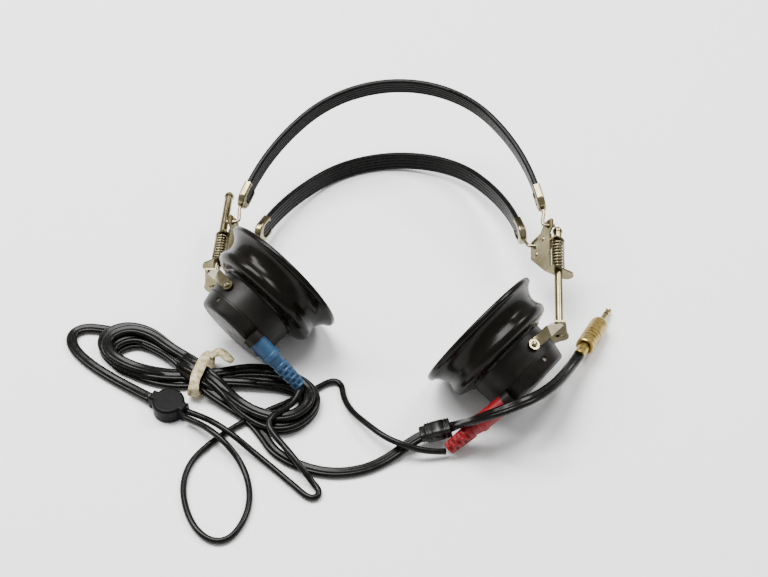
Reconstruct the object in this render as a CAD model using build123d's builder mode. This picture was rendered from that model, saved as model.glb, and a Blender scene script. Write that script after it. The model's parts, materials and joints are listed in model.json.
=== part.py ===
from build123d import *
import os
from math import cos, pi, radians, sin, sqrt, tan

os.makedirs("parts", exist_ok=True)

# Dynamic headphones with two sprung head bands, lying on a table.
# Millimetres.  +X to the wearer's right-hand end, +Y away from the cups, +Z up.

# --- driving dimensions -------------------------------------------------
shift_x, shift_y = -1.15, 3.30  # brings the origin under the middle of the object

rod_radius = 2.25
rod_length = 66.2
fork_reach = 23.8  # fork pins beyond the end of the rod
fork_offset = 25.4  # fork pins inboard of the rod
fork_half_width = 23.3  # inside of each fork arm from the cup's axis
strip = 1.2  # fork sheet
plate = 1.0  # bracket sheet
lug_gap = 18.5  # clear space between the two lugs of a bracket

rim_height = 28.4  # ear cup rim above the fork pins
rim_radius = 37.0
body_radius = 22.8
seam_height = -5.8  # joint of body and back cap
back_height = -14.6

band_width = 11.0
band_thick = 3.2
wire_radius = 1.0
ferrule_sheet = 0.6

cord_radius = 1.7
cable_width = 6.2  # twin cord across both cores
core_radius = 1.55  # each core of the twin cord

# how each side lies: rod end, heading and slope of the rod, swivel of the
# fork about the rod, tilt of the cup about its pins, and how far the upper
# lug stands below the rod's head
sides = {
    "left": (-1, Vector(-93.8, -15.6, 18.7), -4.2, 4.9, 23.5, 46.9, 30.2),
    "right": (1, Vector(93.3, -54.2, 21.99), -2.3, 11.9, 19.0, 39.4, 7.0),
}
bracket_lean = 35.0  # lean of the bracket plates about the rods

boot_ends = {"left": (-44, -81, 12), "right": (33, -117, 5)}

# places on a bracket plate: (down across the plate, along it towards the cup)
upper_pivot = (0.2, -8.0)
lower_pivot = (12.0, -0.5)
plate_rivets = [(5.4, -1.6), (11.2, 5.6)]


def side_frames(name):
    """Planes of one side: rod end, cup, bracket."""
    out, rod_end, heading, slope, swivel, tilt, lug_drop = sides[name]
    rod_end = rod_end + Vector(shift_x, shift_y, 0)
    heading, slope = radians(heading), radians(slope)
    along = Vector(sin(heading), -cos(heading) * cos(slope), -sin(slope)).normalized()
    outward = (Vector(out, 0, 0) - along * along.dot(Vector(out, 0, 0))).normalized()
    upward = along.cross(outward)
    upward = upward if upward.Z > 0 else upward * -1
    swivel, tilt, lean = radians(swivel), radians(tilt), radians(bracket_lean)
    pin = upward * cos(swivel) + outward * sin(swivel)
    inboard = upward * sin(swivel) - outward * cos(swivel)
    fork = Plane(origin=rod_end, x_dir=pin, z_dir=along)
    centre = rod_end + along * fork_reach + inboard * fork_offset
    facing = inboard * cos(tilt) - along * sin(tilt)
    cup = Plane(origin=centre, x_dir=pin, z_dir=facing)
    lug = rod_end - along * (rod_length - lug_drop)
    normal = outward * cos(lean) - upward * sin(lean)
    bracket = Plane(origin=lug, x_dir=normal, z_dir=along)
    return out, fork, cup, bracket


def plate_point(frame, hand, place, height=-6.0):
    """A point on a bracket plate, from its place down and along the plate."""
    return frame.from_local_coords(Vector(height, -hand * place[0], place[1]))


frames = {name: side_frames(name) for name in sides}

# --- head bands ----------------------------------------------------------
pivots = {}
for name, (hand, fork, cup, bracket) in frames.items():
    pivots[name] = {
        "upper": plate_point(bracket, hand, upper_pivot),
        "lower": plate_point(bracket, hand, lower_pivot),
    }
    print(name, "pin centre", cup.origin, "opening", cup.z_dir)

# crown height above the pivots' line, crown arc and its half angle, side arc
# and the angle it ends at, straight end of the strip, height of the crown
bands = {
    "lower": dict(rise=88.3, crown=60.0, half=50.0, side=135.0, end=73.0, tail=8.0, level=6.371, bend=3.7),
    "upper": dict(rise=94.5, crown=73.0, half=48.0, side=130.0, end=73.0, tail=6.0, level=56.0, bend=3.7),
}

for name, band in bands.items():
    first, last = pivots["left"][name], pivots["right"][name]
    across = (last - first).normalized()
    middle = (first + last) * 0.5
    half_span = (last - first).length / 2
    drop = band["level"] - middle.Z
    level = Vector(-across.Y, across.X, 0).normalized()
    run = sqrt(band["rise"] ** 2 - drop**2)
    rise_dir = level * run + Vector(0, 0, drop)
    rise_dir = (rise_dir - across * rise_dir.dot(across)).normalized()
    face = Plane(origin=middle, x_dir=across, z_dir=across.cross(rise_dir))
    band["face"] = face
    print(name, "band pivots", first, last, "half span", half_span)

    crown, side = band["crown"], band["side"]
    half, end = radians(band["half"]), radians(band["end"])
    top = band["rise"]
    joint = (crown * sin(half), top - crown * (1 - cos(half)))
    foot = (joint[0] + side * (sin(end) - sin(half)), joint[1] - side * (cos(half) - cos(end)))
    tip = (foot[0] + band["tail"] * cos(end), foot[1] - band["tail"] * sin(end))
    mid = (half + end) / 2
    bow = (joint[0] + side * (sin(mid) - sin(half)), joint[1] - side * (cos(half) - cos(mid)))
    print("   strip ends at", tip)

    with BuildPart() as cover:
        with BuildLine(face) as strip_path:
            Line((-tip[0], tip[1]), (-foot[0], foot[1]))
            ThreePointArc((-foot[0], foot[1]), (-bow[0], bow[1]), (-joint[0], joint[1]))
            ThreePointArc((-joint[0], joint[1]), (0, top), joint)
            ThreePointArc(joint, bow, foot)
            Line(foot, tip)
        start = strip_path.wires()[0]
        with BuildSketch(Plane(origin=start @ 0, x_dir=face.z_dir, z_dir=start % 0)):
            RectangleRounded(band_width, band_thick, band_thick * 0.42)
            with GridLocations(2.0, band_thick, 4, 2):
                Circle(0.35, mode=Mode.SUBTRACT)
            Circle(wire_radius, mode=Mode.SUBTRACT)
        sweep(path=start)
    cover.part.label = name + "_band_cover"
    export_step(cover.part, "parts/" + name + "_band_cover.step")

    # spring wire: straight out of the strip, a slight kink, then bent outward
    # through the bracket plates
    kink = (foot[0] + (band["tail"] + 7.4) * cos(end), foot[1] - (band["tail"] + 7.4) * sin(end))
    corner_x = half_span - band["bend"]
    with BuildPart() as wire:
        with BuildLine(face) as wire_path:
            FilletPolyline(
                (-half_span - 3.4, 0), (-corner_x, 0), (-kink[0], kink[1]), (-foot[0], foot[1]),
                radius=2.2,
            )
            ThreePointArc((-foot[0], foot[1]), (-bow[0], bow[1]), (-joint[0], joint[1]))
            ThreePointArc((-joint[0], joint[1]), (0, top), joint)
            ThreePointArc(joint, bow, foot)
            FilletPolyline(foot, kink, (corner_x, 0), (half_span + 3.4, 0), radius=2.2)
        start = wire_path.wires()[0]
        with BuildSketch(Plane(origin=start @ 0, x_dir=face.z_dir, z_dir=start % 0)):
            Circle(wire_radius)
        sweep(path=start)
    wire.part.label = name + "_band_wire"
    export_step(wire.part, "parts/" + name + "_band_wire.step")

    # ferrules: pressed sheet round the outer face, edges and end of the strip
    for hand, where in ((-1, "left"), (1, "right")):
        along = face.x_dir * (hand * cos(end)) - face.y_dir * sin(end)
        outer = face.x_dir * (hand * sin(end)) + face.y_dir * cos(end)
        base = face.from_local_coords(Vector(hand * tip[0], tip[1], 0))
        shell = Plane(origin=base, x_dir=along, z_dir=outer)
        wide = band_width / 2 + ferrule_sheet
        deep = band_thick / 2 + ferrule_sheet
        with BuildPart() as ferrule:
            with BuildSketch(shell.offset(-deep)):
                with Locations((-4.0, 0)):
                    Rectangle(8.0, 2 * wide)
                with BuildLine():
                    Line((0, -wide), (0, wide))
                    ThreePointArc((0, wide), (wide * 0.95, 0), (0, -wide))
                make_face()
            extrude(amount=2 * deep)
            fillet(ferrule.edges().filter_by(Axis(base, along)), radius=1.2)
            with BuildSketch(shell.offset(-band_thick / 2 - 0.03)):
                with Locations((-5.0, 0)):
                    Rectangle(10.0, band_width + 0.06)
            extrude(amount=band_thick + 0.06, mode=Mode.SUBTRACT)
            with BuildSketch(shell.offset(-deep)):
                with Locations((-3.5, 0)):
                    SlotOverall(11.0, band_width - 2.6)
            extrude(amount=ferrule_sheet + 0.4, mode=Mode.SUBTRACT)
            with BuildSketch(Plane(origin=base - along, x_dir=face.z_dir, z_dir=along)):
                Circle(wire_radius)
            extrude(amount=12.0, mode=Mode.SUBTRACT)
        ferrule.part.label = name + "_ferrule_" + where
        export_step(ferrule.part, "parts/" + name + "_ferrule_" + where + ".step")

# --- turned blanks, each standing on +Z ------------------------------------
with BuildPart() as rod_blank:
    with BuildSketch(Plane.XZ):
        with BuildLine():
            Polyline(
                (0, strip + 0.9),
                (1.4, strip + 0.7),
                (2.4, strip + 0.05),
                (1.55, strip + 0.05),
                (1.55, -0.05),
                (rod_radius, -0.05),
                (rod_radius, -rod_length + 1.2),
                (2.75, -rod_length + 1.2),
                (2.75, -rod_length),
                (2.3, -rod_length),
                (2.0, -rod_length - 1.2),
                (1.2, -rod_length - 2.0),
                (0, -rod_length - 2.2),
                close=True,
            )
        make_face()
    revolve(axis=Axis.Z)

with BuildPart() as rivet_blank:
    with BuildSketch(Plane.XZ):
        with BuildLine():
            Polyline((0, 3.0), (0, 0), (1.2, 0.1), (1.8, 0.55), (1.8, 0.6), (0.98, 0.6))
            Polyline((0.98, 0.6), (0.98, 2.4), (1.8, 2.4), (1.8, 2.45), (1.2, 2.9), (0, 3.0))
        make_face()
    revolve(axis=Axis.Z)

# --- ear cups: the same turned parts on both sides, mouth up, pins along X ---
rim = rim_height
with BuildPart() as bell_blank:
    with BuildSketch(Plane.XZ):
        with BuildLine():
            Line((34.0, rim), (35.6, rim))
            ThreePointArc((35.6, rim), (36.7, rim - 0.5), (37.0, rim - 1.6))
            ThreePointArc((37.0, rim - 1.6), (36.8, rim - 2.6), (36.2, rim - 3.2))
            ThreePointArc((36.2, rim - 3.2), (32.4, rim - 6.4), (30.9, rim - 11.0))
            ThreePointArc((30.9, rim - 11.0), (31.2, rim - 12.6), (31.8, rim - 14.2))
            ThreePointArc((31.8, rim - 14.2), (32.1, rim - 17.2), (30.2, rim - 19.4))
            ThreePointArc((30.2, rim - 19.4), (27.4, rim - 20.4), (24.8, rim - 21.0))
            Polyline((24.8, rim - 21.0), (24.0, rim - 22.0), (23.0, rim - 22.0), (23.0, rim - 19.6))
            Polyline((23.0, rim - 19.6), (28.4, rim - 16.8), (28.4, rim - 13.0), (0, rim - 13.0))
            Polyline((0, rim - 13.0), (0, rim - 11.2), (11.0, rim - 11.2))
            ThreePointArc((11.0, rim - 11.2), (24.5, rim - 7.6), (34.0, rim))
        make_face()
    revolve(axis=Axis.Z)
    with BuildSketch(Plane.XY.offset(rim - 14)):
        Circle(2.6)
        with PolarLocations(8.0, 6):
            Circle(1.7)
    extrude(amount=4, mode=Mode.SUBTRACT)

with BuildPart() as body_blank:
    with BuildSketch(Plane.XZ):
        with BuildLine():
            Polyline(
                (20.6, seam_height),
                (body_radius, seam_height),
                (body_radius, 9.4),
                (27.9, 12.0),
                (27.9, 13.6),
                (24.4, 13.6),
                (24.4, 12.0),
                (20.6, 9.4),
                close=True,
            )
        make_face()
    revolve(axis=Axis.Z)
    with BuildSketch(Plane.YZ.offset(-30)):
        Circle(1.2)
    extrude(amount=60, mode=Mode.SUBTRACT)

with BuildPart() as cap_blank:
    with BuildSketch(Plane.XZ):
        with BuildLine():
            Polyline(
                (0, back_height - 0.6),
                (18.6, back_height + 0.2),
            )
            ThreePointArc(
                (18.6, back_height + 0.2), (20.2, back_height + 0.8), (21.0, back_height + 2.3)
            )
            Polyline(
                (21.0, back_height + 2.3),
                (22.3, seam_height - 1.0),
                (22.3, seam_height),
                (20.5, seam_height),
                (20.5, seam_height + 2.4),
                (18.6, seam_height + 2.4),
                (18.6, back_height + 3.4),
                (17.6, back_height + 2.4),
                (0, back_height + 1.8),
            )
            Line((0, back_height + 1.8), (0, back_height - 0.6))
        make_face()
    revolve(axis=Axis.Z)
    with BuildSketch(Plane.YZ.offset(-30)):
        with Locations((0, seam_height - 3.0)):
            Circle(1.3)
    extrude(amount=60, mode=Mode.SUBTRACT)

with BuildPart() as screw_blank:
    with BuildSketch(Plane.XZ):
        with BuildLine():
            Polyline((0, 16.9), (0, 21.2), (1.28, 21.2), (1.28, 20.4), (0.9, 20.0), (0.9, 16.9))
            Line((0.9, 16.9), (0, 16.9))
        make_face()
    revolve(axis=Axis.Z)

with BuildPart() as pin_blank:
    reach = fork_half_width + strip
    with BuildSketch(Plane.XZ):
        with BuildLine():
            Polyline(
                (0, 19.6),
                (0, reach + 1.5),
                (0.9, reach + 1.35),
                (1.6, reach + 0.7),
                (1.6, reach + 0.06),
                (1.2, reach + 0.06),
                (1.2, 19.6),
                close=True,
            )
        make_face()
    revolve(axis=Axis.Z)

with BuildPart() as diaphragm_blank:
    with BuildSketch(Plane.XY.offset(13.6)):
        Circle(27.8)
    extrude(amount=0.35)

with BuildPart() as magnet_blank:
    with BuildSketch(Plane.XY.offset(-3.2)):
        Circle(16.5)
    extrude(amount=2.0)
    with BuildSketch(Plane.XY.offset(-1.2)):
        Rectangle(24.0, 9.0)
    extrude(amount=4.0)

with BuildPart() as poles_blank:
    with BuildSketch(Plane.XY.offset(2.8)):
        with GridLocations(13.0, 1, 2, 1):
            Rectangle(2.4, 8.0)
    extrude(amount=10.2)

with BuildPart() as coils_blank:
    with BuildSketch(Plane.XY.offset(4.0)):
        with GridLocations(13.0, 1, 2, 1):
            RectangleRounded(7.0, 12.6, 2.0)
            Rectangle(2.5, 8.1, mode=Mode.SUBTRACT)
    extrude(amount=7.0)

# --- one side at a time ---------------------------------------------------
for name, (hand, fork, cup, bracket) in frames.items():
    lower_lug = lug_gap + plate
    hinge = {band: bands[band]["face"].x_dir for band in bands}

    # bracket: pear shaped plate with the lower lug and its thumb tab bent outward
    side_face = Plane(origin=bracket.origin, x_dir=bracket.y_dir, z_dir=bracket.x_dir)
    with BuildPart() as frame_plate:
        with BuildSketch(side_face.offset(-6.5)):
            with BuildLine():
                FilletPolyline(
                    (hand * 0.6, lower_lug + plate / 2),
                    (hand * 0.6, -3.0),
                    (hand * 3.2, -6.0),
                    (hand * 3.2, -11.5),
                    (-hand * 3.6, -11.5),
                    (-hand * 7.0, -6.0),
                    (-hand * 15.4, -4.0),
                    (-hand * 15.4, 7.0),
                    (-hand * 3.8, lower_lug + plate / 2),
                    radius=1.4,
                )
                Line((-hand * 3.8, lower_lug + plate / 2), (hand * 0.6, lower_lug + plate / 2))
            make_face()
        extrude(amount=plate)
        with BuildSketch(bracket.offset(lug_gap + plate / 2)):
            with Locations((-0.25, 0)):
                Rectangle(12.5, 7.6)
            with Locations((6.0, 0)):
                Circle(3.8)
        extrude(amount=plate)
        with BuildSketch(bracket.offset(lug_gap + plate / 2)):
            Circle(rod_radius + 0.06)
        extrude(amount=plate, mode=Mode.SUBTRACT)
        for band, place in (("lower", lower_pivot), ("upper", upper_pivot)):
            spot = plate_point(bracket, hand, place)
            with BuildSketch(Plane(origin=spot - hinge[band] * 4, z_dir=hinge[band])):
                Circle(wire_radius + 0.06)
            extrude(amount=8, mode=Mode.SUBTRACT)
        for place in plate_rivets:
            spot = plate_point(bracket, hand, place, -7.0)
            with BuildSketch(Plane(origin=spot, z_dir=bracket.x_dir)):
                Circle(1.0)
            extrude(amount=3, mode=Mode.SUBTRACT)
    frame_plate.part.label = name + "_bracket"
    export_step(frame_plate.part, "parts/" + name + "_bracket.step")

    # upper lug: its own small plate, riveted to the outside of the bracket
    with BuildPart() as upper_lug:
        with BuildSketch(side_face.offset(-5.5)):
            with BuildLine():
                FilletPolyline(
                    (hand * 0.6, 0),
                    (hand * 0.6, 7.2),
                    (-hand * 13.0, 7.8),
                    (-hand * 13.0, 3.4),
                    (-hand * 3.8, -3.6),
                    (hand * 0.6, -3.6),
                    (hand * 0.6, 0.01),
                    radius=1.6,
                )
                Line((hand * 0.6, 0), (hand * 0.6, 0.01))
            make_face()
        extrude(amount=0.8)
        with BuildSketch(bracket.offset(-plate / 2)):
            with Locations((-2.3, 0)):
                Rectangle(4.8, 7.6)
            Circle(3.8)
        extrude(amount=plate)
        with BuildSketch(bracket.offset(-plate / 2)):
            Circle(rod_radius + 0.06)
        extrude(amount=plate, mode=Mode.SUBTRACT)
        for place in plate_rivets:
            spot = plate_point(bracket, hand, place, -7.0)
            with BuildSketch(Plane(origin=spot, z_dir=bracket.x_dir)):
                Circle(1.0)
            extrude(amount=4, mode=Mode.SUBTRACT)
    upper_lug.part.label = name + "_upper_lug"
    export_step(upper_lug.part, "parts/" + name + "_upper_lug.step")

    # rivets with domed heads on both faces
    with BuildPart() as rivets:
        for place in plate_rivets:
            spot = plate_point(bracket, hand, place, -7.1)
            with Locations(Plane(origin=spot, x_dir=bracket.y_dir, z_dir=bracket.x_dir).location):
                add(rivet_blank.part)
    rivets.part.label = name + "_bracket_rivets"
    export_step(rivets.part, "parts/" + name + "_bracket_rivets.step")

    # coil spring between the lugs
    with BuildPart() as spring:
        coil_start = bracket.offset(plate / 2 + 0.6).origin
        with BuildLine():
            coil = Helix(1.9, lug_gap - 2.2, 3.2, center=coil_start, direction=bracket.z_dir)
        with BuildSketch(Plane(origin=coil @ 0, z_dir=coil % 0)):
            Circle(0.5)
        sweep(path=coil)
    spring.part.label = name + "_spring"
    export_step(spring.part, "parts/" + name + "_spring.step")

    # rod: domed head with a flange, riveted over under the fork's web
    with BuildPart() as rod:
        with Locations(fork.location):
            add(rod_blank.part)
    rod.part.label = name + "_rod"
    export_step(rod.part, "parts/" + name + "_rod.step")

    # fork: web under the rod, two twisted arms, a round pad at each pin
    knee = Vector(11.5, hand * 6.0, strip / 2)
    arm_end = Vector(fork_half_width + strip / 2, hand * fork_offset, fork_reach)
    with BuildPart() as stirrup:
        with BuildSketch(fork):
            Circle(5.0)
            with BuildLine():
                Polyline(
                    (-11.5 - 1.9, hand * (6.0 + 2.9)),
                    (0, hand * 4.4),
                    (11.5 + 1.9, hand * (6.0 + 2.9)),
                    (11.5 + 4.0, hand * (6.0 - 2.6)),
                    (4.4, -hand * 2.6),
                    (-4.4, -hand * 2.6),
                    (-11.5 - 4.0, hand * (6.0 - 2.6)),
                    close=True,
                )
            make_face()
        extrude(amount=strip)
        for near in (1, -1):
            bend = Vector(near * knee.X, knee.Y, knee.Z)
            finish = Vector(near * arm_end.X, arm_end.Y, arm_end.Z)
            run = (finish - bend).normalized()
            # three stations of the arm: knee, bow round the cup's body, pad
            waist = Vector(near * 22.1, hand * (fork_offset - 9.0), fork_reach - 10.8)
            fold = Vector(-near * 3.0, hand * 5.6, 0).normalized()
            flat = Vector(0, -run.Z, run.Y).normalized() * hand
            half_way = (fold + flat * 2).normalized()
            into = (waist - bend).normalized()
            out_of = (finish - waist).normalized()
            stations = [
                (bend - into * 0.3, into, fold, 6.4),
                (waist, (into + out_of).normalized(), half_way, 6.0),
                (finish - out_of * 2.4, out_of, flat, 5.6),
            ]
            for spot, heading, cross, wide in stations:
                here = fork.from_local_coords(spot)
                section = Plane(
                    origin=here,
                    x_dir=fork.from_local_coords(spot + cross) - here,
                    z_dir=fork.from_local_coords(spot + heading) - here,
                )
                with BuildSketch(section):
                    Rectangle(wide, strip)
            loft(ruled=True)
            pad = Plane(
                origin=fork.from_local_coords(finish - Vector(near * strip / 2, 0, 0)),
                x_dir=fork.z_dir,
                z_dir=fork.x_dir * near,
            )
            with BuildSketch(pad):
                Circle(2.9)
            extrude(amount=strip)
        for near in (1, -1):
            centre = fork.from_local_coords(Vector(0, arm_end.Y, arm_end.Z))
            with BuildSketch(Plane(origin=centre, z_dir=fork.x_dir * near)):
                Circle(1.26)
            extrude(amount=30, mode=Mode.SUBTRACT)
        with BuildSketch(fork.offset(-1)):
            Circle(1.6)
        extrude(amount=4, mode=Mode.SUBTRACT)
    stirrup.part.label = name + "_fork"
    export_step(stirrup.part, "parts/" + name + "_fork.step")

    # ear cup, turned parts set on the pins
    cup_pieces = {
        "bell": bell_blank,
        "body": body_blank,
        "diaphragm": diaphragm_blank,
        "magnet": magnet_blank,
        "pole_pieces": poles_blank,
        "coils": coils_blank,
    }
    for kind, blank in cup_pieces.items():
        with BuildPart() as piece:
            with Locations(cup.location):
                add(blank.part)
        piece.part.label = name + "_" + kind
        export_step(piece.part, "parts/" + name + "_" + kind + ".step")

    for kind, blank, height in (("fork_pins", pin_blank, 0), ("cap_screws", screw_blank, seam_height - 3.0)):
        with BuildPart() as piece:
            for near in (1, -1):
                spot = Plane(
                    origin=cup.origin + cup.z_dir * height,
                    x_dir=cup.y_dir,
                    z_dir=cup.x_dir * near,
                )
                with Locations(spot.location):
                    add(blank.part)
        piece.part.label = name + "_" + kind
        export_step(piece.part, "parts/" + name + "_" + kind + ".step")

    # cable gland on the back cap and the ribbed rubber boot in it
    root = cup.from_local_coords(Vector(6.0, -hand * 21.5, seam_height - 5.0))
    finish = Vector(*boot_ends[name]) + Vector(shift_x, shift_y, 0)
    boot_dir = (finish - root).normalized()
    boot_frame = Plane(origin=root, z_dir=boot_dir)
    boot_length = (finish - root).length
    print(name, "boot length", boot_length, root)
    with BuildPart() as cap:
        with Locations(cup.location):
            add(cap_blank.part)
        with BuildSketch(boot_frame.offset(-1.0)):
            Circle(5.5)
        extrude(amount=4.4)
        with BuildSketch(cup.offset(seam_height)):
            Circle(60)
            Circle(20.5, mode=Mode.SUBTRACT)
        extrude(amount=20, mode=Mode.SUBTRACT)
        with BuildSketch(cup.offset(back_height + 3.4)):
            Circle(18.6)
        extrude(amount=12, mode=Mode.SUBTRACT)
        with BuildSketch(boot_frame.offset(3.0)):
            Circle(4.9)
        extrude(amount=10, mode=Mode.SUBTRACT)
    cap.part.label = name + "_back_cap"
    export_step(cap.part, "parts/" + name + "_back_cap.step")

    # boot: barrel, shoulder, then a tapering tail with five rings
    tail = boot_length - 15.0
    with BuildPart() as boot_blank:
        with BuildSketch(Plane.XZ):
            with BuildLine():
                Polyline((0, 3.05), (4.85, 3.05), (4.85, 14.0), (4.4, 22.0), (4.0, tail - 1.0))
                Polyline((4.0, tail - 1.0), (3.3, boot_length), (0, boot_length), (0, 3.05))
            make_face()
        revolve(axis=Axis.Z)
        for ring in range(5):
            with BuildSketch(Plane.XY.offset(tail + 0.6 + 2.9 * ring)):
                Circle(6)
                Circle(2.9, mode=Mode.SUBTRACT)
                Rectangle(1.4, 12, mode=Mode.SUBTRACT)
            extrude(amount=1.2, mode=Mode.SUBTRACT)
    with BuildPart() as boot:
        with Locations(boot_frame.location):
            add(boot_blank.part)
    boot.part.label = name + "_boot"
    export_step(boot.part, "parts/" + name + "_boot.step")


# --- cords -----------------------------------------------------------------
def corner_radii(route):
    """Radius at each corner: 0.45 of the shorter run over the tangent of half the turn."""
    radii = []
    for before, here, after in zip(route, route[1:], route[2:]):
        first, second = here - before, after - here
        turn = radians(first.get_angle(second))
        radii.append(0.45 * min(first.length, second.length) / tan(turn / 2))
    return radii


def points(route):
    return [Vector(x + shift_x, y + shift_y, z) for x, y, z in route]


# left cord: from the left boot over the hank, past the cable, back to the splitter
left_route = points([
    (-42.8, -82.7, 10.9),
    (-45.5, -87.8, 10.3),
    (-50.0, -94.0, 10.0),
    (-57.0, -98.5, 10.4),
    (-60.0, -104.0, 10.6),
    (-57.0, -111.0, 9.6),
    (-51.5, -117.0, 8.0),
    (-46.5, -124.0, 8.2),
    (-41.0, -131.0, 6.4),
    (-36.5, -136.5, 2.2),
    (-34.2, -141.2, 1.7),
    (-38.0, -142.6, 1.7),
    (-45.5, -136.0, 1.75),
    (-56.5, -126.5, 1.7),
    (-68.0, -117.0, 3.4),
    (-77.0, -110.5, 7.4),
    (-87.0, -102.5, 7.6),
    (-95.5, -96.0, 5.4),
    (-105.2, -91.2, 4.4),
])
# right cord: from the splitter round a loop, under itself and the hank, to the right boot
right_route = points([
    (-103.6, -96.4, 4.4),
    (-96.5, -100.7, 5.6),
    (-89.5, -107.0, 7.6),
    (-81.5, -114.5, 7.4),
    (-74.0, -122.5, 3.2),
    (-69.0, -133.5, 1.7),
    (-67.0, -147.0, 1.7),
    (-69.5, -160.0, 1.7),
    (-76.0, -170.5, 1.7),
    (-85.0, -171.5, 1.7),
    (-93.5, -164.0, 1.7),
    (-99.5, -151.0, 1.7),
    (-102.0, -136.5, 1.7),
    (-99.0, -122.5, 1.7),
    (-90.0, -111.0, 1.75),
    (-79.0, -101.0, 1.7),
    (-66.0, -92.0, 1.75),
    (-50.0, -83.5, 1.7),
    (-37.5, -75.5, 1.7),
    (-28.0, -68.6, 1.7),
    (-22.6, -71.0, 1.7),
    (-21.4, -81.0, 1.8),
    (-17.0, -91.0, 3.0),
    (-9.5, -101.5, 6.6),
    (0.5, -112.5, 8.6),
    (11.0, -117.6, 8.4),
    (22.0, -119.2, 5.4),
    (31.6, -117.9, 3.9),
])
cords = {"left_cord": left_route, "right_cord": right_route}
for name, route in cords.items():
    radii = corner_radii(route)
    print(name, "radii", [round(r, 1) for r in radii])
    with BuildPart() as cord:
        with BuildLine() as cord_path:
            FilletPolyline(*route, radius=radii)
        run = cord_path.wires()[0]
        with BuildSketch(Plane(origin=run @ 0, z_dir=run % 0)):
            Circle(cord_radius)
        sweep(path=run)
    cord.part.label = name
    export_step(cord.part, "parts/" + name + ".step")
    print("   length", run.length, "volume", cord.part.volume, run.length * pi * cord_radius**2)

# twin cable: splitter to hank, hank to clamp to plug
inner_route = points([
    (-122.5, -83.0, 3.4),
    (-134.0, -75.0, 2.0),
    (-147.0, -66.5, 1.7),
    (-160.5, -56.0, 1.7),
    (-170.0, -45.0, 1.7),
    (-171.5, -36.0, 1.7),
    (-165.0, -31.0, 1.75),
    (-154.0, -32.5, 1.7),
])
outer_route = points([
    (-62.5, -106.5, 1.7),
    (-56.5, -117.0, 1.7),
    (-43.0, -126.0, 1.75),
    (-27.0, -130.5, 1.7),
    (-11.0, -128.5, 1.7),
    (2.0, -121.5, 1.9),
    (12.0, -113.5, 4.2),
    (22.0, -108.8, 7.4),
])
lead_route = points([
    (34.4, -106.8, 9.8),
    (38.8, -108.6, 14.8),
    (43.2, -113.0, 22.0),
    (50.0, -115.4, 29.2),
    (58.4, -116.2, 34.8),
    (67.0, -113.3, 36.5),
    (75.6, -107.8, 35.0),
    (83.6, -99.0, 31.0),
    (90.4, -88.4, 25.4),
    (95.9, -77.3, 20.0),
    (100.2, -68.4, 15.8),
    (103.7, -61.4, 13.7),
])
cables = {"cable_to_hank": inner_route, "cable_to_clamp": outer_route, "cable_to_plug": lead_route}
for name, route in cables.items():
    radii = corner_radii(route)
    print(name, "radii", [round(r, 1) for r in radii])
    with BuildPart() as cable:
        with BuildLine() as cable_path:
            FilletPolyline(*route, radius=radii)
        run = cable_path.wires()[0]
        heading = run % 0
        with BuildSketch(Plane(origin=run @ 0, x_dir=heading.cross(Vector(0, 0, 1)), z_dir=heading)):
            with GridLocations(cable_width - 2 * core_radius, 1, 2, 1):
                Circle(core_radius)
            Rectangle(core_radius * 2, core_radius * 0.8)
        sweep(path=run)
        area = cable.part.volume / run.length
    cable.part.label = name
    export_step(cable.part, "parts/" + name + ".step")
    print("   length", run.length, "volume", cable.part.volume, "mean section", area)

# hank of the twin cable, oblong and drawn in at the tie
with BuildPart() as hank:
    with BuildSketch():
        with BuildLine():
            outline = [
                (-157, -47), (-154, -33), (-140, -28), (-127, -32), (-114, -43), (-102, -58),
                (-84, -60), (-61, -61), (-45, -67), (-33, -81), (-32, -94), (-40, -106),
                (-54, -110), (-66, -104), (-82, -90), (-92, -77), (-108, -76), (-126, -72),
                (-146, -60),
            ]
            Spline(*[Vector(x + shift_x, y + shift_y) for x, y in outline], periodic=True)
        make_face()
    extrude(amount=7.0)
hank.part.label = "cable_hank"
export_step(hank.part, "parts/cable_hank.step")

# tie round the waist of the hank
tie_centre = (-97.0 + shift_x, -68.0 + shift_y)
with BuildPart() as tie:
    with BuildSketch(Plane(origin=(*tie_centre, 0), x_dir=(0.28, 0.96, 0), z_dir=(0.96, -0.28, 0))):
        with Locations((0, 4.3)):
            RectangleRounded(29.0, 8.6, 2.5)
            RectangleRounded(27.6, 7.1, 2.0, mode=Mode.SUBTRACT)
    extrude(amount=2.8, both=True)
tie.part.label = "cable_tie"
export_step(tie.part, "parts/cable_tie.step")

# splitter: two shallow moulded halves with a small ear on each side
splitter_at = (-113.0 + shift_x, -88.0 + shift_y)
for name, low, high in (("splitter_base", 0.0, 4.2), ("splitter_lid", 4.2, 9.0)):
    with BuildPart() as half_shell:
        with BuildSketch(Plane(origin=(*splitter_at, low), x_dir=(0.9, -0.44, 0))):
            Circle(8.6)
            with GridLocations(16.4, 0, 2, 1):
                Rectangle(4.6, 6.4)
        extrude(amount=high - low)
        top = half_shell.faces().sort_by(Axis.Z)[-1 if low else 0]
        fillet(top.edges(), radius=1.5 if low else 0.8)
    half_shell.part.label = name
    export_step(half_shell.part, "parts/" + name + ".step")

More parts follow.
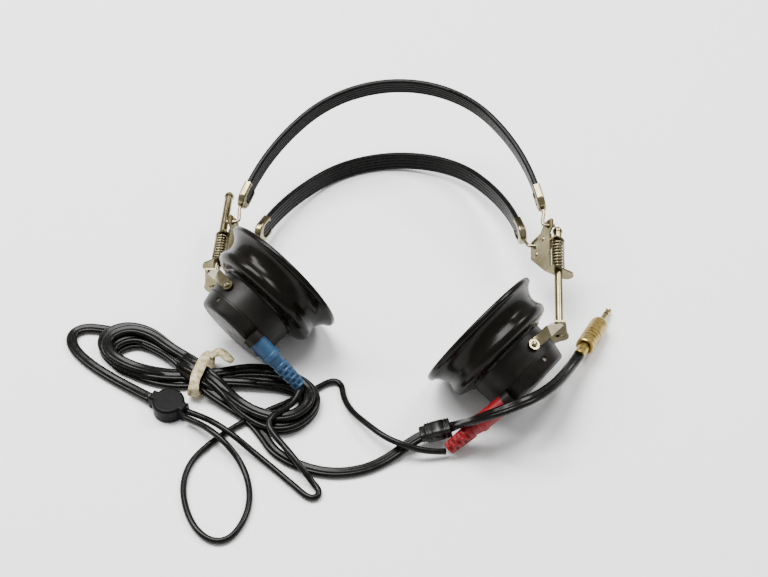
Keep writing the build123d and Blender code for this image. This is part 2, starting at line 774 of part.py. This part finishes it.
# clamp: a moulded block with a lower step at one end, round the twin cable beside the right boot
clamp_at = Plane(
    origin=(27.2 + shift_x, -107.9 + shift_y, 8.4),
    x_dir=(12.4, 2.0, 2.4),
    z_dir=Vector(12.4, 2.0, 2.4).cross(Vector(-2.0, 12.4, 0)),
)
with BuildPart() as clamp:
    with BuildSketch(clamp_at.offset(-3.9)):
        with Locations((0.6, 0)):
            RectangleRounded(13.4, 9.6, 1.6)
    extrude(amount=7.8)
    fillet(clamp.faces().sort_by(Axis.Z)[-1].edges(), radius=0.9)
    with BuildSketch(clamp_at.offset(-2.9)):
        with Locations((-7.0, 0)):
            RectangleRounded(4.0, 8.0, 1.0)
    extrude(amount=5.8)
clamp.part.label = "cable_clamp"
export_step(clamp.part, "parts/cable_clamp.step")

# plug: collar, grooved barrel, insulator rings and contacts of a 3.5 mm plug, lying nose down
# with its tip and the front of its barrel on the table
plug_tip = Vector(125.5 + shift_x, -17.4 + shift_y, 1.95)
plug_dir = Vector(0.432, 0.871, -0.232).normalized()
pin_length = 14.3
barrel_length = 27.5
collar_length = 9.0
barrel_radius = 5.0
pin_radius = 1.75
pin_from = collar_length + barrel_length
plug_at = Plane(
    origin=plug_tip - plug_dir * (pin_from + pin_length), x_dir=(0.871, -0.432, 0), z_dir=plug_dir
)
with BuildPart() as collar_blank:
    with BuildSketch(Plane.XZ):
        with BuildLine():
            Polyline(
                (0, 0.4), (2.8, 0.4), (3.1, 0.8), (3.1, collar_length + 1.4), (0, collar_length + 1.4),
                close=True,
            )
        make_face()
    revolve(axis=Axis.Z)
with BuildPart() as barrel_blank:
    with BuildSketch(Plane.XZ):
        with BuildLine():
            Line((0, collar_length + 1.4), (3.9, collar_length + 1.4))
            Polyline(
                (3.9, collar_length + 1.4),
                (3.9, collar_length),
                (barrel_radius - 0.4, collar_length),
                (barrel_radius, collar_length + 0.6),
                (barrel_radius, pin_from - 5.2),
            )
            ThreePointArc(
                (barrel_radius, pin_from - 5.2), (4.45, pin_from - 2.2), (3.0, pin_from - 0.2)
            )
            Polyline((3.0, pin_from - 0.2), (2.6, pin_from), (0, pin_from), (0, collar_length + 1.4))
        make_face()
    revolve(axis=Axis.Z)
    for groove in (6.4, 9.2, 12.0):
        with BuildSketch(Plane.XY.offset(collar_length + groove)):
            Circle(barrel_radius + 1)
            Circle(barrel_radius - 0.35, mode=Mode.SUBTRACT)
        extrude(amount=0.6, mode=Mode.SUBTRACT)
with BuildPart() as contact_blank:
    with BuildSketch(Plane.XZ):
        with BuildLine():
            Polyline(
                (0, pin_from),
                (pin_radius, pin_from),
                (pin_radius, pin_from + 7.0),
                (0, pin_from + 7.0),
                close=True,
            )
        make_face()
    revolve(axis=Axis.Z)
    with BuildSketch(Plane.XZ):
        with BuildLine():
            Polyline(
                (0, pin_from + 7.7),
                (pin_radius, pin_from + 7.7),
                (pin_radius, pin_from + 9.8),
                (0, pin_from + 9.8),
                close=True,
            )
        make_face()
    revolve(axis=Axis.Z)
    with BuildSketch(Plane.XZ):
        with BuildLine():
            Polyline(
                (0, pin_from + 10.5),
                (1.5, pin_from + 10.5),
                (1.25, pin_from + 11.6),
                (pin_radius, pin_from + 12.6),
                (0.9, pin_from + 14.0),
                (0, pin_from + pin_length),
                close=True,
            )
        make_face()
    revolve(axis=Axis.Z)
with BuildPart() as insulator_blank:
    for low in (7.0, 9.8):
        with BuildSketch(Plane.XY.offset(pin_from + low)):
            Circle(pin_radius - 0.3)
        extrude(amount=0.7)
plug_pieces = {
    "plug_collar": collar_blank,
    "plug_barrel": barrel_blank,
    "plug_contacts": contact_blank,
    "plug_insulators": insulator_blank,
}
for name, blank in plug_pieces.items():
    with BuildPart() as piece:
        with Locations(plug_at.location):
            add(blank.part)
    piece.part.label = name
    export_step(piece.part, "parts/" + name + ".step")
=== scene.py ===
"""Looks of a pair of folding radio headphones: two ribbed head bands, sliding rods, forked
bakelite ear cups, a twin cord tied in a hank, and a small round plug.

Every length is in metres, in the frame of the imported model."""

import json
from math import cos, pi, radians, sin

import bmesh
import bpy
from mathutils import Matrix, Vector


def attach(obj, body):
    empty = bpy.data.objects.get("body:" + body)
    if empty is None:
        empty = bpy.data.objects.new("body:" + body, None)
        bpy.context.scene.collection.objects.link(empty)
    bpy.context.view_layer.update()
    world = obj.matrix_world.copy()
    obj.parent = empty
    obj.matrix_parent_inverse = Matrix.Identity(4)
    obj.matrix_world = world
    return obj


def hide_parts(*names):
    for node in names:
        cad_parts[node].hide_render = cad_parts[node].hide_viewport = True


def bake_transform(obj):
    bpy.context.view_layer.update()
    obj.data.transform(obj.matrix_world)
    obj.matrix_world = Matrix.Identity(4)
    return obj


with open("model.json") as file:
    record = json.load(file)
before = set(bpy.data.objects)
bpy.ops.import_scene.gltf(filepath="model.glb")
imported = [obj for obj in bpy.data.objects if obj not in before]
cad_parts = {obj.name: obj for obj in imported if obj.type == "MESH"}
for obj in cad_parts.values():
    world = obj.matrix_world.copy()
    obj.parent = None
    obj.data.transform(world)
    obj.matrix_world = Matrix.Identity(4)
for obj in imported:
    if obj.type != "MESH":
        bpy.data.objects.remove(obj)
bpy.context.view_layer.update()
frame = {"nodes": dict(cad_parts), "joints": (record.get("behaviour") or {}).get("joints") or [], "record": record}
nodes = frame["nodes"]

SHIFT = Vector((-0.00115, 0.0033, 0.0))  # the routes below are measured from this point
CORD = 0.0034  # width of a single cord
CORE = 0.00155  # radius of each core of the twin cord
STRIP = 0.0056  # width of the tie
ROOT = "brackets"  # body that the cords lie with


# --- camera, floor and light -------------------------------------------------
def camera():
    """Long lens, 47 degrees above the table."""
    data = bpy.data.cameras.new("camera")
    data.sensor_width = 36.0
    data.lens = 74.67
    data.clip_end = 20
    eye = bpy.data.objects.new("camera", data)
    rise = radians(47.0)
    eye.location = SHIFT + Vector((0, -0.9 * cos(rise), 0.9 * sin(rise)))
    eye.rotation_euler = (radians(90.0) - rise, 0, 0)
    bpy.context.scene.collection.objects.link(eye)
    bpy.context.scene.camera = eye


def floor():
    bpy.ops.mesh.primitive_plane_add(size=6.0, location=(0, 0, -0.0002))
    ground = bpy.context.object
    ground.name = "floor"
    paint = bpy.data.materials.new("floor")
    paint.use_nodes = True
    shader = paint.node_tree.nodes["Principled BSDF"]
    shader.inputs["Base Color"].default_value = (0.9, 0.9, 0.895, 1)
    shader.inputs["Roughness"].default_value = 0.8
    shader.inputs["Specular IOR Level"].default_value = 0.13
    ground.data.materials.append(paint)


def softbox(name, place, size, watts, colour=(1, 1, 1)):
    data = bpy.data.lights.new(name, "AREA")
    data.shape = "RECTANGLE"
    data.size, data.size_y = size
    data.energy = watts
    data.color = colour
    lamp = bpy.data.objects.new(name, data)
    lamp.location = place
    lamp.rotation_euler = (-Vector(place)).to_track_quat("-Z", "Y").to_euler()
    bpy.context.scene.collection.objects.link(lamp)


def lights():
    world = bpy.data.worlds.new("studio")
    world.use_nodes = True
    sky = world.node_tree.nodes["Background"]
    sky.inputs["Color"].default_value = (1, 1, 1, 1)
    sky.inputs["Strength"].default_value = 0.6
    bpy.context.scene.world = world
    softbox("key", (-0.35, 0.35, 1.5), (0.9, 0.9), 52)
    softbox("window", (-0.9, 0.2, 1.1), (0.25, 0.45), 9)
    softbox("fill", (0.8, 0.5, 1.2), (0.5, 0.5), 16)


# --- materials ---------------------------------------------------------------
def blank(name, colour, roughness, metallic=0.0, coat=0.0):
    """A material and its shader, with the values that are the same all over."""
    paint = bpy.data.materials.new(name)
    paint.use_nodes = True
    shader = paint.node_tree.nodes["Principled BSDF"]
    shader.inputs["Base Color"].default_value = (*colour, 1)
    shader.inputs["Roughness"].default_value = roughness
    shader.inputs["Metallic"].default_value = metallic
    shader.inputs["Coat Weight"].default_value = coat
    shader.inputs["Coat Roughness"].default_value = 0.08
    return paint, paint.node_tree, shader


def noise(tree, scale, detail=4.0, stretch=(1, 1, 1)):
    """Cloudy values that stay with the piece."""
    place = tree.nodes.new("ShaderNodeTexCoord")
    mapping = tree.nodes.new("ShaderNodeMapping")
    mapping.inputs["Scale"].default_value = stretch
    cloud = tree.nodes.new("ShaderNodeTexNoise")
    cloud.inputs["Scale"].default_value = scale
    cloud.inputs["Detail"].default_value = detail
    tree.links.new(place.outputs["Object"], mapping.inputs["Vector"])
    tree.links.new(mapping.outputs["Vector"], cloud.inputs["Vector"])
    return cloud.outputs["Fac"]


def tint(tree, shader, source, stops):
    """Base colour from a value, as (place, colour) stops."""
    ramp = tree.nodes.new("ShaderNodeValToRGB")
    ramp.color_ramp.elements.remove(ramp.color_ramp.elements[1])
    first, *rest = stops
    ramp.color_ramp.elements[0].position = first[0]
    ramp.color_ramp.elements[0].color = (*first[1], 1)
    for place, colour in rest:
        ramp.color_ramp.elements.new(place).color = (*colour, 1)
    tree.links.new(source, ramp.inputs["Fac"])
    tree.links.new(ramp.outputs["Color"], shader.inputs["Base Color"])
    return ramp.outputs["Color"]


def gloss(tree, shader, source, low, high):
    """Roughness between low and high from a value."""
    span = tree.nodes.new("ShaderNodeMapRange")
    span.inputs["From Min"].default_value = 0.3
    span.inputs["From Max"].default_value = 0.7
    span.inputs["To Min"].default_value = low
    span.inputs["To Max"].default_value = high
    tree.links.new(source, span.inputs["Value"])
    tree.links.new(span.outputs["Result"], shader.inputs["Roughness"])


def relief(tree, shader, source, depth, strength=1.0):
    """Bump of that depth in metres."""
    bump = tree.nodes.new("ShaderNodeBump")
    bump.inputs["Distance"].default_value = depth
    bump.inputs["Strength"].default_value = strength
    tree.links.new(source, bump.inputs["Height"])
    tree.links.new(bump.outputs["Normal"], shader.inputs["Normal"])


def nickel():
    """Old nickel plate on brass: warm and slightly clouded."""
    paint, tree, shader = blank("nickel", (0.36, 0.32, 0.22), 0.2, metallic=1.0)
    clouds = noise(tree, 60, 3)
    tint(tree, shader, clouds, [(0.3, (0.14, 0.115, 0.055)), (0.5, (0.22, 0.19, 0.105)), (0.72, (0.3, 0.265, 0.165))])
    gloss(tree, shader, noise(tree, 260, 4), 0.15, 0.27)
    relief(tree, shader, noise(tree, 1400, 2), 0.000004)
    return paint


def steel():
    """Bright spring wire."""
    paint, tree, shader = blank("steel", (0.44, 0.39, 0.3), 0.2, metallic=1.0)
    tint(tree, shader, noise(tree, 200, 3), [(0.35, (0.17, 0.14, 0.08)), (0.6, (0.28, 0.245, 0.155))])
    gloss(tree, shader, noise(tree, 500, 4), 0.16, 0.28)
    return paint


def bakelite(name, low, high, dark, light, shine):
    """Old black bakelite: brown in the thin places, dull where it was handled."""
    paint, tree, shader = blank(name, dark, low)
    shader.inputs["Specular IOR Level"].default_value = shine
    tint(tree, shader, noise(tree, 120, 6), [(0.38, dark), (0.75, light)])
    gloss(tree, shader, noise(tree, 220, 5), low, high)
    relief(tree, shader, noise(tree, 900, 4), 0.000006)
    return paint


def band_rubber():
    """Semi-gloss black rubber of the head bands."""
    paint, tree, shader = blank("band_rubber", (0.003, 0.003, 0.0028), 0.3)
    shader.inputs["Specular IOR Level"].default_value = 0.09
    tint(tree, shader, noise(tree, 150, 6), [(0.3, (0.002, 0.002, 0.0018)), (0.75, (0.006, 0.0055, 0.005))])
    gloss(tree, shader, noise(tree, 500, 6), 0.22, 0.36)
    relief(tree, shader, noise(tree, 1800, 4), 0.00001)
    return paint


def rubber(name, dark, light, low=0.3, high=0.5, shine=0.35):
    """Coloured moulded rubber, a little dusty in the hollows."""
    paint, tree, shader = blank(name, dark, low)
    shader.inputs["Specular IOR Level"].default_value = shine
    tint(tree, shader, noise(tree, 180, 6), [(0.3, dark), (0.7, light)])
    gloss(tree, shader, noise(tree, 600, 5), low, high)
    relief(tree, shader, noise(tree, 2200, 4), 0.00002)
    return paint


def cord_skin():
    """Glossy black vinyl with faint scuffs."""
    paint, tree, shader = blank("cord_black", (0.003, 0.003, 0.0028), 0.22)
    shader.inputs["Specular IOR Level"].default_value = 0.13
    tint(tree, shader, noise(tree, 320, 5), [(0.35, (0.002, 0.002, 0.0018)), (0.8, (0.008, 0.0075, 0.006))])
    gloss(tree, shader, noise(tree, 420, 5), 0.16, 0.28)
    relief(tree, shader, noise(tree, 1600, 3), 0.00001)
    return paint


def gilt(name, dark, light, low, high):
    """Gilt brass with tarnish in patches."""
    paint, tree, shader = blank(name, light, low, metallic=1.0)
    tint(tree, shader, noise(tree, 500, 5), [(0.3, dark), (0.62, light)])
    gloss(tree, shader, noise(tree, 1200, 5), low, high)
    relief(tree, shader, noise(tree, 3000, 3), 0.00003)
    return paint


def tie_paper():
    """Cream paper-covered strip, creased; its darker brown patches are painted shade of the creases, spread at random
    by noise.
    """
    paint, tree, shader = blank("tie_strip", (0.72, 0.66, 0.48), 0.6)
    # the two darker stops are painted crease shade; the light stop is the paper's own cream colour
    tint(tree, shader, noise(tree, 420, 6), [(0.32, (0.2, 0.155, 0.06)), (0.5, (0.42, 0.36, 0.19)), (0.68, (0.64, 0.57, 0.37))])
    gloss(tree, shader, noise(tree, 900, 4), 0.45, 0.7)
    relief(tree, shader, noise(tree, 900, 6), 0.0003)
    return paint


MATERIALS = {
    "nickel": nickel(),
    "spring_steel": steel(),
    # screw_steel is made near black as painted shade: the dark colour stands for the shaded hole of the cap screw,
    # not for the steel's own colour
    "screw_steel": gilt("screw_steel", (0.03, 0.028, 0.022), (0.09, 0.08, 0.06), 0.4, 0.6),
    "bakelite_gloss": bakelite("bakelite_gloss", 0.16, 0.28, (0.0025, 0.0022, 0.0016), (0.006, 0.005, 0.003), 0.11),
    "bakelite_satin": bakelite("bakelite_satin", 0.34, 0.48, (0.003, 0.0026, 0.0018), (0.009, 0.0075, 0.005), 0.16),
    "band_rubber": band_rubber(),
    "boot_blue": rubber("boot_blue", (0.009, 0.034, 0.075), (0.017, 0.055, 0.115), 0.32, 0.5, 0.3),
    "boot_red": rubber("boot_red", (0.12, 0.0008, 0.003), (0.21, 0.0015, 0.006), 0.3, 0.48, 0.3),
    "cord_black": cord_skin(),
    "clamp_plastic": rubber("clamp_plastic", (0.0025, 0.0025, 0.002), (0.007, 0.0065, 0.005), 0.22, 0.36, 0.25),
    "splitter_plastic": rubber("splitter_plastic", (0.001, 0.001, 0.001), (0.003, 0.003, 0.003), 0.35, 0.5, 0.08),
    "tie_strip": tie_paper(),
    "plug_gold": gilt("plug_gold", (0.24, 0.16, 0.035), (0.44, 0.32, 0.1), 0.26, 0.42),
    "contact_metal": gilt("contact_metal", (0.24, 0.17, 0.08), (0.5, 0.4, 0.22), 0.16, 0.3),
    "insulator": rubber("insulator", (0.01, 0.008, 0.008), (0.02, 0.016, 0.016)),
    "diaphragm_metal": gilt("diaphragm_metal", (0.2, 0.2, 0.2), (0.46, 0.46, 0.47), 0.3, 0.5),
    "magnet_steel": gilt("magnet_steel", (0.12, 0.12, 0.12), (0.3, 0.3, 0.31), 0.4, 0.6),
    "coil_winding": rubber("coil_winding", (0.3, 0.1, 0.03), (0.5, 0.2, 0.07), 0.25, 0.4),
}


def paint_frame():
    """Every carried-over node gets the material that its slot in the record names."""
    for part in frame["record"]["subparts"]:
        mesh = nodes[part["node"]].data
        mesh.materials.clear()
        mesh.materials.append(MATERIALS[part["material_slot"]])


# --- pieces ------------------------------------------------------------------
def new_mesh(name, points, faces, slot, smooth=True):
    mesh = bpy.data.meshes.new(name)
    mesh.from_pydata([tuple(p) for p in points], [], faces)
    shape = bmesh.new()
    shape.from_mesh(mesh)
    bmesh.ops.recalc_face_normals(shape, faces=shape.faces)
    shape.to_mesh(mesh)
    shape.free()
    for face in mesh.polygons:
        face.use_smooth = smooth
    mesh.materials.append(MATERIALS[slot])
    piece = bpy.data.objects.new(name, mesh)
    bpy.context.scene.collection.objects.link(piece)
    return piece


def route(millimetres):
    """Points of a cord, given in millimetres from SHIFT, as vectors in metres."""
    return [Vector(p) * 0.001 + SHIFT for p in millimetres]


def smooth_line(name, points, bevel=0.0):
    """A curve with the points as its control points."""
    data = bpy.data.curves.new(name, "CURVE")
    data.dimensions = "3D"
    data.bevel_depth = bevel
    data.bevel_resolution = 5
    data.use_fill_caps = True
    spline = data.splines.new("NURBS")
    spline.points.add(len(points) - 1)
    for knot, point in zip(spline.points, points):
        knot.co = (*point, 1)
    spline.order_u = 3
    spline.use_endpoint_u = True
    spline.resolution_u = 10
    curve = bpy.data.objects.new(name, data)
    bpy.context.scene.collection.objects.link(curve)
    return curve


def points_along(points):
    """The points that a smooth line through the route follows, and the line's length."""
    guide = smooth_line("guide", points)
    mesh = bpy.data.meshes.new_from_object(guide)
    line = [v.co.copy() for v in mesh.vertices]
    bpy.data.objects.remove(guide)
    bpy.data.meshes.remove(mesh)
    return line, sum((b - a).length for a, b in zip(line, line[1:]))


def single_cord(side, points):
    """A round cord between a boot and the splitter."""
    name = side + "_cord"
    tube = smooth_line("tube", points, CORD / 2)
    piece = bpy.data.objects.new(name + "_line", bpy.data.meshes.new_from_object(tube))
    bpy.data.objects.remove(tube)
    bpy.context.scene.collection.objects.link(piece)
    for face in piece.data.polygons:
        face.use_smooth = True
    piece.data.materials.append(MATERIALS["cord_black"])
    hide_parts(name)
    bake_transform(piece)
    line, length = points_along(points)
    return piece


def twin_section():
    """Outline of the twin cord: two round cores joined by a thin web."""
    radius = CORE
    outline = []
    for side in (1, -1):
        for step in range(9):
            angle = radians(-140 + 35 * step)
            if side < 0:
                angle = radians(180 - 140 + 35 * step)
            outline.append((side * radius + cos(angle) * radius, sin(angle) * radius))
    return outline


def twin_mesh(name, line, slot):
    """The twin cord swept along its line, lying flat."""
    outline = twin_section()
    count = len(outline)
    points = []
    flat = Vector((1, 0, 0))
    for i, here in enumerate(line):
        ahead = (line[min(i + 1, len(line) - 1)] - line[max(i - 1, 0)]).normalized()
        flat = ahead.cross(Vector((0, 0, 1))).normalized()
        up = flat.cross(ahead)
        points += [here + flat * x + up * y for x, y in outline]
    faces = []
    for i in range(len(line) - 1):
        for j in range(count):
            k = (j + 1) % count
            a = i * count
            faces.append((a + j, a + k, a + count + k, a + count + j))
    faces.append(tuple(range(count)))
    faces.append(tuple(reversed(range(len(points) - count, len(points)))))
    return new_mesh(name, points, faces, slot)


# moulded boots: where each leaves the back cap, in the cup's own axes, and where it ends
BOOTS = {"left": (-1, (-44, -81, 12), "boot_blue"), "right": (1, (33, -117, 5), "boot_red")}
GLAND = (6.0, 21.5, -10.8)  # along the fork pins, across them, along the mouth's axis


def boot_radius(along, length, angle):
    """Radius in millimetres of a boot at a place along it: barrel, flange, neck, notched tail."""
    tail = length - 15.6
    if along < tail - 7.5:
        return 4.75
    if along < tail - 5.0:
        return 4.95 + 0.25 * abs(cos(3 * angle))
    if along < tail:
        return 4.5 - 0.9 * (along - tail + 5.0) / 5.0
    share = (along - tail) / 15.6
    radius = 4.3 - 0.8 * share
    row, place = divmod(along - tail - 1.2, 2.75)
    column = (angle + (pi / 6 if row % 2 else 0)) % (pi / 3)
    if 0.7 < place < 2.3 and 0 <= row < 5 and column < pi / 5:
        radius -= 1.1
    return radius


def boot(side):
    """Rubber boot, turned from its outline with brick-pattern notches in the tail."""
    hand, end, slot = BOOTS[side]
    record = frame["record"]
    pins = next(j for j in frame["joints"] if j["name"] == side + "_cup_tilt")
    mouth = next(m for m in record["mounts"] if m["name"] == side + "_ear_rim")
    x_axis, z_axis = Vector(pins["axis"]), Vector(mouth["axis"])
    y_axis = z_axis.cross(x_axis)
    root = Vector(pins["pos_m"]) + (x_axis * GLAND[0] - y_axis * hand * GLAND[1] + z_axis * GLAND[2]) * 0.001
    tip = route([end])[0]
    heading = (tip - root).normalized()
    length = (tip - root).length * 1000
    across = heading.cross(Vector((0, 0, 1))).normalized()
    up = across.cross(heading)
    start, steps, around = 3.0, 150, 72
    points, faces = [], []
    for i in range(steps + 1):
        along = start + (length - start) * i / steps
        for j in range(around):
            angle = 2 * pi * j / around
            radius = boot_radius(along, length, angle)
            if i in (0, steps):
                radius -= 0.5
            out = across * cos(angle) + up * sin(angle)
            points.append(root + heading * along * 0.001 + out * radius * 0.001)
    for i in range(steps):
        for j in range(around):
            k = (j + 1) % around
            a = i * around
            faces.append((a + j, a + around + j, a + around + k, a + k))
    faces.append(tuple(range(around)))
    faces.append(tuple(reversed(range(steps * around, (steps + 1) * around))))
    piece = new_mesh(side + "_boot_relief", points, faces, slot)
    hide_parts(side + "_boot")
    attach(piece, side + "_cup")
    return piece


# left cord: from the left boot over the hank and back to the splitter
LEFT_ROUTE = route([
    (-43.6, -81.4, 11.6), (-45.5, -87.8, 10.3), (-50, -94, 10), (-57, -98.5, 10.4), (-60, -104, 10.6),
    (-57, -111, 9.6), (-51.5, -117, 8), (-46.5, -124, 8.2), (-41, -131, 6.2), (-36.2, -136.3, 2.4),
    (-32.6, -140.6, 1.75), (-33.2, -145, 1.75), (-38.2, -145.4, 1.75), (-45, -138.4, 1.75), (-56.5, -127, 1.75),
    (-68, -117, 3.4), (-77, -110.5, 7.4), (-87, -102.5, 7.6), (-95.5, -96, 5.4), (-105.2, -91.2, 4.4),
])

# right cord: from the splitter round a loop, under itself and the hank, to the right boot
RIGHT_ROUTE = route([
    (-103.6, -96.4, 4.4), (-96.5, -100.7, 5.6), (-89.5, -107, 7.6), (-81.5, -114.5, 7.4),
    (-74, -122.5, 3.2), (-69, -133.5, 1.75), (-67, -147, 1.75), (-69.5, -160, 1.75),
    (-76, -170.5, 1.75), (-85, -171.5, 1.75), (-93.5, -164, 1.75), (-99.5, -151, 1.75),
    (-102, -136.5, 1.75), (-99, -122.5, 1.75), (-90, -111, 1.75), (-79, -101, 1.75),
    (-66, -92, 1.75), (-50, -83.5, 1.75), (-37.5, -75.5, 1.75), (-28, -68.6, 1.75),
    (-22.6, -71, 1.75), (-21.4, -81, 1.8), (-17, -91, 3), (-9.5, -101.5, 6.6), (0.5, -112.5, 8.6),
    (11, -117.6, 8.4), (22, -119.2, 5.4), (31.6, -117.9, 3.9),
])

# twin cord: splitter to hank, hank to clamp, clamp to plug
INNER_ROUTE = route([
    (-122.5, -83, 3.4), (-134, -75, 2), (-147, -66.5, 1.75), (-160.5, -56, 1.75),
    (-170, -45, 1.75), (-171.5, -36, 1.75), (-165, -31, 1.75), (-154, -32.5, 1.75),
])
OUTER_ROUTE = route([
    (-62.5, -106.5, 1.75), (-56.5, -117, 1.75), (-43, -126, 1.75), (-27, -130.5, 1.75),
    (-11, -128.5, 1.75), (2, -121.5, 1.9), (12, -113.5, 4.2), (22, -108.8, 7.4),
])
LEAD_ROUTE = route([
    (34.4, -106.8, 9.8), (38.8, -108.6, 14.8), (43.2, -113, 22), (50, -115.4, 29.2),
    (58.4, -116.2, 34.8), (67, -113.3, 36.5), (75.6, -107.8, 35), (83.6, -99, 31),
    (90.4, -88.4, 25.4), (95.9, -77.3, 20), (100.2, -68.4, 15.8), (103.7, -61.4, 13.7),
])

# one turn of the hank, a long figure of eight: over the crossing at the tie, round the right
# lobe, back under the crossing and round the left lobe. Turns fill the band between the two.
OUTSIDE_TURN = [
    (-91, -76), (-75, -92), (-60, -103), (-46, -102), (-36, -90), (-37, -78), (-49, -68), (-69, -62),
    (-91, -67), (-113, -70), (-135, -65), (-151, -52), (-154, -40), (-143, -32), (-128, -36),
    (-115, -49), (-103, -64),
]
INSIDE_TURN = [
    (-95, -71), (-82, -82), (-66, -92), (-51, -95), (-42, -89.5), (-42.5, -79.5), (-54, -74), (-72, -71),
    (-93, -70), (-111, -65), (-130, -66), (-144.5, -59.5), (-147, -49.5), (-136, -42.5), (-124, -47),
    (-114, -55), (-104, -62),
]
TURNS = [(0.05, 0), (0.95, 0), (0.8, 1), (0.0, 1), (0.45, 2)]  # how far inwards, and which layer


def hank_turns():
    """Points of the five turns, each one passing over the crossing and back under it."""
    points = []
    last = len(OUTSIDE_TURN)
    for turn, (inwards, layer) in enumerate(TURNS):
        for index, (outer, inner) in enumerate(zip(OUTSIDE_TURN, INSIDE_TURN)):
            x = outer[0] + (inner[0] - outer[0]) * inwards
            y = outer[1] + (inner[1] - outer[1]) * inwards
            z = 1.75 + 3.1 * layer
            if index in (0, last - 1):
                z = 5.4 + 2.6 * (turn % 2)
                x += (turn - 2) * 1.6
                y += (turn - 2) * 1.6
            if index in (7, 8, 9):
                z = 1.75 + 1.7 * (turn % 2)
                y += (turn - 2) * 1.4
            points.append((x, y, z))
    return route(points)


def cords():
    left = single_cord("left", LEFT_ROUTE)
    right = single_cord("right", RIGHT_ROUTE)
    entry = route([(-142, -36.5, 3.0), (-128, -45, 4.5), (-116, -53, 5.2), (-104, -66, 5.0)])
    leave = route([(-100, -63, 8.2), (-90, -76, 6.0), (-79, -86, 1.9), (-70, -96, 1.75)])
    points = INNER_ROUTE + entry + hank_turns() + leave + OUTER_ROUTE + LEAD_ROUTE
    line, length = points_along(points)
    twin = twin_mesh("twin_cord", line, "cord_black")
    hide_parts("cable_to_hank", "cable_hank", "cable_to_clamp", "cable_to_plug")
    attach(twin, ROOT)
    plug = [nodes[n] for n in ("plug_collar", "plug_barrel", "plug_contacts", "plug_insulators")]
    plug + [clamp(), tie()]
    return left, right, twin


def clamp():
    """Moulded clamp round the twin cord: rounded block with a lower step at one end and ribbed edges."""
    middle = route([(27.2, -107.9, 8.4)])[0]
    ahead = Vector((12.4, 2.0, 2.4)).normalized()
    flat = ahead.cross(Vector((0, 0, 1))).normalized()
    up = flat.cross(ahead)
    sections = [(-9.0, 6.4, 4.4), (-8.7, 7.6, 5.4), (-8.2, 8.0, 5.8), (-6.4, 8.0, 5.8), (-6.1, 8.3, 6.4), (-5.5, 9.5, 7.7)]
    for place in (-4.6, -3.0, 4.2, 5.8):
        sections += [(place - 0.45, 9.6, 7.8), (place - 0.2, 9.0, 7.2), (place + 0.2, 9.0, 7.2), (place + 0.45, 9.6, 7.8)]
    sections += [(6.7, 9.5, 7.7), (7.1, 9.0, 7.2), (7.3, 8.0, 6.2)]
    around = 48
    points, faces = [], []
    for place, wide, high in sections:
        for j in range(around):
            angle = 2 * pi * j / around
            x = abs(cos(angle)) ** 0.5 * (1 if cos(angle) > 0 else -1)
            y = abs(sin(angle)) ** 0.5 * (1 if sin(angle) > 0 else -1)
            points.append(middle + (ahead * place + flat * x * wide / 2 + up * y * high / 2) * 0.001)
    for i in range(len(sections) - 1):
        for j in range(around):
            k = (j + 1) % around
            a = i * around
            faces.append((a + j, a + around + j, a + around + k, a + k))
    faces.append(tuple(range(around)))
    faces.append(tuple(reversed(range((len(sections) - 1) * around, len(sections) * around))))
    piece = new_mesh("clamp_block", points, faces, "clamp_plastic")
    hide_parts("cable_clamp")
    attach(piece, ROOT)
    return piece


def tie():
    """Creased paper strip round the waist of the hank, its twisted ends laid over to one side."""
    centre = Vector((-0.097, -0.068, 0)) + SHIFT
    across = Vector((0.28, 0.96, 0)).normalized()
    along = Vector((0.96, -0.28, 0)).normalized()
    path = []
    steps = 44
    for step in range(steps):
        angle = 2 * pi * step / steps
        wide = abs(cos(angle)) ** 0.55 * (1 if cos(angle) > 0 else -1)
        high = abs(sin(angle)) ** 0.7 * (1 if sin(angle) > 0 else -1)
        crease = 0.0002 * sin(7 * angle) + 0.00015 * sin(13 * angle + 1)
        path.append(centre + across * (wide * 0.0142 + crease) + Vector((0, 0, 0.0062 + high * (0.0056 + crease))))
    points, faces = [], []
    for i, here in enumerate(path):
        ahead = (path[(i + 1) % steps] - path[i - 1]).normalized()
        out = along.cross(ahead).normalized()
        half = STRIP / 2 * (1 + 0.07 * sin(5 * i * 2 * pi / steps))
        lean = along * 0.0006 * sin(3 * i * 2 * pi / steps)
        for side, lift in ((-1, 0.0), (-0.35, 0.00022), (0.35, 0.00008), (1, 0.0)):
            points.append(here + lean + along * half * side - out * (lift + 0.0002))
        for side, lift in ((1, 0.0), (0.35, 0.00008), (-0.35, 0.00022), (-1, 0.0)):
            points.append(here + lean + along * half * side - out * (lift - 0.0002))
    for i in range(steps):
        a, b = i * 8, (i + 1) % steps * 8
        for j in range(8):
            k = (j + 1) % 8
            faces.append((a + j, a + k, b + k, b + j))
    ends = route([(-92.5, -61.5, 12.2), (-89.5, -58.5, 13.2), (-86.5, -59.5, 13.8), (-83.5, -62.5, 13.2), (-80.5, -64.5, 12.2)])
    knot, _ = points_along(ends)
    first = len(points)
    for i, here in enumerate(knot):
        share = i / (len(knot) - 1)
        ahead = (knot[min(i + 1, len(knot) - 1)] - knot[max(i - 1, 0)]).normalized()
        flat = ahead.cross(Vector((0, 0, 1))).normalized()
        up = flat.cross(ahead)
        half = 0.0016 + 0.0014 * sin(pi * share) + 0.0003 * sin(9 * share)
        for j in range(8):
            angle = 2 * pi * j / 8 + 1.4 * share
            points.append(here + flat * cos(angle) * half + up * sin(angle) * half * 0.42)
        if i:
            for j in range(8):
                k = (j + 1) % 8
                a = first + (i - 1) * 8
                faces.append((a + j, a + k, a + 8 + k, a + 8 + j))
    faces.append(tuple(range(first, first + 8)))
    faces.append(tuple(reversed(range(len(points) - 8, len(points)))))
    piece = new_mesh("tie_strip", points, faces, "tie_strip")
    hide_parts("cable_tie")
    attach(piece, ROOT)
    return piece


camera()
floor()
lights()
paint_frame()
for side in BOOTS:
    boot(side)
cords()
